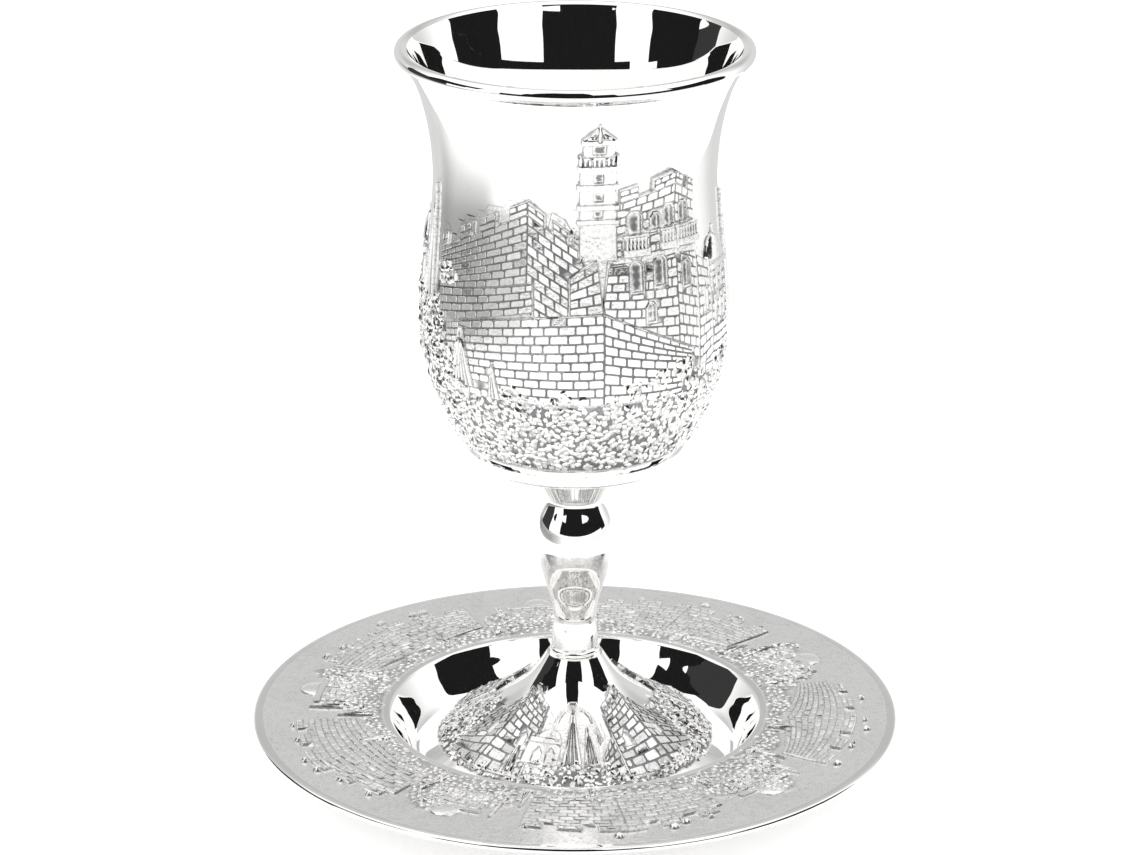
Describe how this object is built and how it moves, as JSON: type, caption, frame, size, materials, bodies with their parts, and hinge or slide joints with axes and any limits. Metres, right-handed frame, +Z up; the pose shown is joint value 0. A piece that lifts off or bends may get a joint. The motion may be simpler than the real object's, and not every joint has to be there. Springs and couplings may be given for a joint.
{
  "type": "kiddush cup",
  "caption": "Stemmed silver-plated kiddush cup with a flared lip, standing in the well of its saucer; a walled city in relief on bowl, foot and saucer.",
  "frame": {"origin": "centre of the saucer's underside, on the axis of the cup", "axes": "+Z up along the axis of cup and saucer; -Y is the front, the side whose bastion, stepped tower and gatehouse are fully modelled; +X to the right of one who faces it"},
  "size_m": [0.1328, 0.1328, 0.1509],
  "materials": {
    "polished_silver": "mirror-polished silver plate, with the city's relief slightly softer",
    "relief_silver": "bright silver plate over fine relief and a stippled ground, with plain polished bands"
  },
  "bodies": {
    "root": {"bowl": "polished_silver", "stem": "polished_silver", "foot": "relief_silver", "saucer": "relief_silver"}
  },
  "joints": []
}
